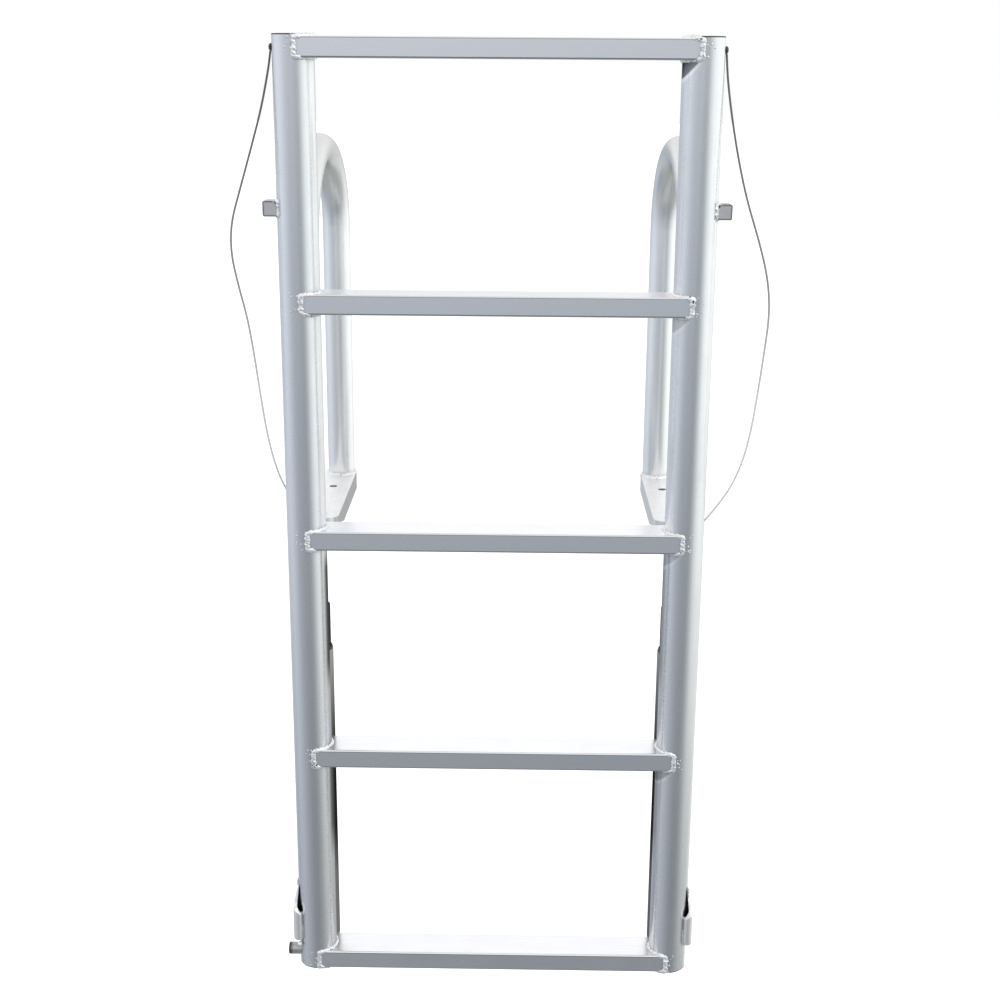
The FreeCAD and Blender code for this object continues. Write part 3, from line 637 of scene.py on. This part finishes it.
# Painted shade: a near-black colour and a dark edge tint stand for the shade the collar sits in.
dark_painted_collar_metal = satin_aluminium("collar_aluminium", "Z", (0.1, 0.1, 0.098), 0.38,
                               mottle=0.15, coarse=60.0)
dark_painted_collar_shader = dark_painted_collar_metal.node_tree.nodes["Principled BSDF"]
dark_painted_collar_shader.inputs["Specular Tint"].default_value = (0.2, 0.2, 0.2, 1)
finish_node(["left_stop_collar", "right_stop_collar"], dark_painted_collar_metal)
finish_node(["left_hoop_plug", "right_hoop_plug"], cap_plastic)


# Deck feet: solid aluminium bar, sawn and undercut at the front end, with one
# bolt hole, and the hoop's legs welded to its top.
# Painted shade by facing: faces turned to +X are darkened to about half, faces turned to -X a little.
foot_metal = satin_aluminium("foot_aluminium", "Y", (0.98, 0.98, 0.98), 0.34,
                             mottle=0.06, coarse=70.0,
                             shade_by_facing_x=[(-1.0, 0.88), (-0.9, 0.90), (-0.5, 1.0), (0.5, 1.0),
                                    (0.9, 0.49), (1.0, 0.45)])
finish_node(["left_deck_foot", "right_deck_foot"], foot_metal)
leg_radius, foot_top = 0.01905, 0.0254
front_leg_y, rear_leg_y, rear_leg_in = -0.11045, 0.11205, 0.0148
angle = np.linspace(0, 2 * np.pi, 110, endpoint=False)
ring = np.stack([np.cos(angle), np.sin(angle), 0 * angle], 1)
for side in ("left", "right"):
    x0 = rail_axis[side][0]
    legs = ((x0, front_leg_y), (x0 + rear_leg_in * inward[side], rear_leg_y))
    beads = [(bead(ring * leg_radius + np.array([x, y, foot_top]), ring + np.array([0.0, 0.0, 1.0]),
                   thick=0.0042, closed=True, seed=70 + k + len(side)), True)
             for k, (x, y) in enumerate(legs)]
    piece_from_grid(side + "_foot_welds", beads, bright_weld, "fixed_hoops")


# Stop tabs: short pieces of bar welded high on the outer side of each rail,
# darker along their edges.
def sawn_bar(name, low, high, colour):
    """Bar metal that darkens at its edges. Each direction gives the distance
    from the bar's middle over its half size, and the second largest of the
    three is near 1 only along an edge. The distance in x is taken from the
    ladder's own middle plane, so that both sides share it."""
    mat = satin_aluminium(name, "Y", colour, 0.45, mottle=0.1, coarse=160.0)
    tree = mat.node_tree
    place = parts_of(tree, "Object")
    across = maths(tree, "ABSOLUTE", maths(tree, "SUBTRACT", place["X"], middle_x))
    middle = ((low.x + high.x) / 2 - middle_x, (low.y + high.y) / 2, (low.z + high.z) / 2)
    near = []
    for k, value in enumerate((across, place["Y"], place["Z"])):
        off = maths(tree, "ABSOLUTE", maths(tree, "SUBTRACT", value, middle[k]))
        near.append(maths(tree, "DIVIDE", off, (high[k] - low[k]) / 2))
    second = maths(tree, "MAXIMUM", maths(tree, "MINIMUM", near[0], near[1]),
                   maths(tree, "MINIMUM", maths(tree, "MAXIMUM", near[0], near[1]), near[2]))
    shade(mat, second, (0.0, 1.0), [(0.0, 1.0), (0.72, 1.0), (0.9, 0.4), (1.0, 0.4)])
    return mat


low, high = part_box("right_stop_tab")
tab_metal = sawn_bar("tab_aluminium", low, high, (0.68, 0.68, 0.69))
finish_node(["left_stop_tab", "right_stop_tab"], tab_metal)
tab_outline = rounded_outline(wide=0.0254, tall=0.019, corner=0.002, count=120)
for side in ("left", "right"):
    ring = bar_weld(side, -inward[side], (low.z + high.z) / 2, tab_outline, thick=0.0030,
                    seed=400 + len(side))
    piece_from_grid(side + "_tab_weld", [ring], bright_weld, "sliding_ladder")


# Lower hooks: a short thick tube welded to the front outer quarter of each
# rail's foot. Its top is cut away in front and runs up to a point at the rail,
# with a bright rim, and painted shade makes its bore black.
hook_out, hook_fore, hook_outer = 0.0252, 0.0142, 0.0068
bore_out, hook_bore = 0.0237, 0.0027
hook_foot, hook_floor, foot_curl = -0.5722, -0.5600, 0.003
rim_turn = [0, 25, 55, 85, 105, 150, 185, 215, 270, 320, 360]
rim_height = [-0.5208, -0.5165, -0.5060, -0.4935, -0.4890, -0.4920,
              -0.5290, -0.5295, -0.5262, -0.5225, -0.5208]


def hook_metal_with_painted_bore():
    """Tube metal with painted shade that makes its bore black: the distance from
    the bore's own axis, the same on both sides, sets the shade, and the rim is
    left bright."""
    mat = satin_aluminium("hook_aluminium", "Z", (0.98, 0.98, 0.98), 0.4, mottle=0.04, coarse=90.0)
    tree = mat.node_tree
    place = parts_of(tree, "Object")
    across = maths(tree, "ABSOLUTE", maths(tree, "SUBTRACT", place["X"], middle_x))
    bore_x = rail_axis["right"][0] - middle_x + bore_out
    flat = tree.nodes.new("ShaderNodeCombineXYZ")
    tree.links.new(maths(tree, "SUBTRACT", across, bore_x), flat.inputs["X"])
    tree.links.new(maths(tree, "SUBTRACT", place["Y"], rail_y - hook_fore), flat.inputs["Y"])
    away = tree.nodes.new("ShaderNodeVectorMath")
    away.operation = "LENGTH"
    tree.links.new(flat.outputs[0], away.inputs[0])
    shade(mat, away.outputs["Value"], (0.0, 0.01),
          [(0.0, 0.015), (hook_bore + 0.0001, 0.015), (hook_bore + 0.0004, 1.0), (0.01, 1.0)])
    return mat


def hook_tube(side):
    """A ring of points for each row: up the outside from the rounded foot to
    the cut, over the rounded rim, and down the bore to its floor. The bore lies
    a little nearer the rail than the tube's middle. The cut's height is read
    from the table by the turn from the outer side to the back."""
    x0, y0 = rail_axis[side]
    angle = np.linspace(0, 2 * np.pi, 96, endpoint=False)
    outward = -inward[side]
    turn = np.degrees(np.arctan2(np.sin(angle), outward * np.cos(angle))) % 360
    cut = np.interp(turn, rim_turn, rim_height)
    wall_foot = hook_foot + foot_curl
    rows = [(hook_out, hook_outer - foot_curl * (1 - np.sin(curl)),
             hook_foot + foot_curl * (1 - np.cos(curl)) + 0 * cut)
            for curl in np.linspace(0, np.pi / 2, 5)]
    rows += [(hook_out, hook_outer, wall_foot + (cut - 0.0012 - wall_foot) * part)
             for part in np.linspace(0.1, 1, 10)]
    rows += [(hook_out, hook_outer - 0.0003, cut - 0.0009),
             ((hook_out + bore_out) / 2, (hook_outer + hook_bore) / 2, cut - 0.0003),
             (bore_out, hook_bore + 0.0004, cut),
             (bore_out, hook_bore + 0.0001, cut - 0.0001)]
    rows += [(bore_out, hook_bore, cut - 0.0004 + (hook_floor - cut + 0.0004) * part)
             for part in np.linspace(0, 1, 6)]
    return np.stack([np.stack([x0 + outward * out + radius * np.cos(angle),
                               y0 - hook_fore + radius * np.sin(angle), z], 1)
                     for out, radius, z in rows])


painted_bore_metal = hook_metal_with_painted_bore()
tip_out, tip_fore = 0.0255, {"left": 0.0062, "right": 0.0095}
tip_reach = {"left": (-0.4945, -0.4815), "right": (-0.5040, -0.4870)}
front_out, front_fore, front_reach = 0.0202, 0.0165, (-0.5710, -0.5480)
for side in ("left", "right"):
    tube = piece_from_grid(side + "_hook_tube", [(hook_tube(side), False)], painted_bore_metal,
                           "sliding_ladder")
    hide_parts(side + "_lower_hook")
    x0, y0 = rail_axis[side]
    outward = -inward[side]
    dots = [upright_weld(x0 + outward * tip_out, y0 - tip_fore[side], *tip_reach[side], count=24,
                         facing=(outward, -0.5, 0), thick=0.0024, seed=500 + len(side)),
            upright_weld(x0 + outward * front_out, y0 - front_fore, *front_reach, count=32,
                         facing=(outward * 0.3, -1.0, 0), thick=0.0021, seed=520 + len(side))]
    if side == "left":
        dots += spatter(spots=np.array([[x0 - 0.0240, y0 - 0.0175, -0.5785]]),
                        facing=np.array([[-0.5, -0.75, 0.43]]), sizes=np.array([0.0038]))
    piece_from_grid(side + "_hook_welds", dots, bright_weld, "sliding_ladder")


# Foot stub: a short end of round bar welded across the left rail's foot, below
# the hook. Its outer end is sawn and rounded by wear, and the bar is darker
# towards it.
def round_stub(outer_end, inner_end, thick):
    """A round bar end, lying across: rings along x whose radius is rounded
    down at the outer end by a quarter circle and buried in the rail at the
    other."""
    stub_y, stub_z, curl = -0.163, -0.5938, 0.0012
    rows = [(outer_end + curl * (1 - math.cos(a)), thick - curl * (1 - math.sin(a)))
            for a in np.linspace(0, np.pi / 2, 5)]
    rows += [(x, thick) for x in np.linspace(outer_end + 0.002, inner_end, 12)]
    angle = np.linspace(0, -2 * np.pi, 48, endpoint=False)
    return np.stack([np.stack([x + 0 * angle, stub_y + radius * np.cos(angle),
                               stub_z + radius * np.sin(angle)], 1) for x, radius in rows])


stub_metal = satin_aluminium("stub_aluminium", "X", (0.60, 0.60, 0.62), 0.4,
                             mottle=0.22, coarse=260.0)
shade(stub_metal, parts_of(stub_metal.node_tree, "Object")["X"], (-0.046, -0.027),
      [(-0.046, 0.12), (-0.0425, 0.2), (-0.0385, 0.9), (-0.027, 0.9)])
stub_rings = round_stub(outer_end=-0.0452, inner_end=-0.026, thick=0.0083)
stub = piece_from_grid("left_foot_stub", [(stub_rings, False)], stub_metal, "sliding_ladder")
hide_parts("left_lower_stub")


# Lanyards: thin coated wire rope from a black rivet at the top of each rail
# down to its lock pin, bowed out by the stiffness of the wire. The coating is
# paler towards the lower end and darker towards the top.
finish_node(["left_lanyard_rivet", "right_lanyard_rivet"], cap_plastic)
pin_metal = satin_aluminium("pin_steel", "X", colour=(0.6, 0.61, 0.62), rough=0.3)
finish_node(["left_lock_pin", "right_lock_pin"], pin_metal)
cable_skin = moulded_plastic("cable_skin", (0.60, 0.60, 0.60))
shade(cable_skin, parts_of(cable_skin.node_tree, "Object")["Z"], (0.0, 0.64),
      [(0.0, 1.3), (0.2, 1.1), (0.34, 0.5), (0.5, 0.26), (0.64, 0.2)])
# Each point is the distance out from the ladder's middle plane, the distance
# behind the rails' plane and the height, in millimetres.
lanyard_points = {
    "left": ((271.5, 0.0, 616.0), (273.0, 0.0, 604.5), (277.0, 0.0, 584.0), (285.5, 0.2, 547.0),
             (298.5, 0.4, 504.0), (313.5, 0.6, 456.0), (327.0, 0.8, 413.0), (328.6, 1.0, 376.0),
             (321.5, 1.4, 338.0), (311.0, 2.0, 294.0), (304.2, 3.0, 244.0), (298.5, 4.5, 192.0),
             (292.2, 7.5, 141.0), (283.0, 12.5, 97.0), (271.5, 18.5, 66.0), (262.8, 21.6, 50.2)),
    "right": ((271.5, 0.0, 616.0), (272.4, 0.0, 604.0), (274.8, 0.0, 582.0), (281.0, 0.2, 544.0),
              (291.5, 0.4, 493.0), (304.5, 0.6, 444.0), (320.5, 0.8, 399.0), (334.5, 1.0, 352.0),
              (339.5, 1.2, 308.0), (335.8, 1.6, 262.0), (331.0, 2.2, 214.0), (325.5, 3.2, 164.0),
              (318.0, 5.5, 122.0), (305.0, 9.5, 83.0), (287.0, 14.5, 53.0), (272.5, 19.0, 32.0),
              (262.8, 21.6, 20.2))}
for side in ("left", "right"):
    out_from = np.array([-inward[side], 1.0, 1.0]) / 1000
    route = np.array(lanyard_points[side]) * out_from + np.array([middle_x, rail_y, 0.0])
    line = bpy.data.curves.new(side + "_wire", "CURVE")
    line.dimensions = "3D"
    spline = line.splines.new("NURBS")
    spline.points.add(len(route) - 1)
    spline.points.foreach_set("co", np.hstack([route, np.ones((len(route), 1))]).ravel())
    spline.order_u = 3
    spline.use_endpoint_u = True
    spline.resolution_u = 8
    line.bevel_depth = 0.0013
    line.bevel_resolution = 4
    line.use_fill_caps = True
    wire = put_in_scene(side + "_wire", line)
    line.materials.append(cable_skin)
    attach(wire, "sliding_ladder")
    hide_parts(side + "_lanyard")
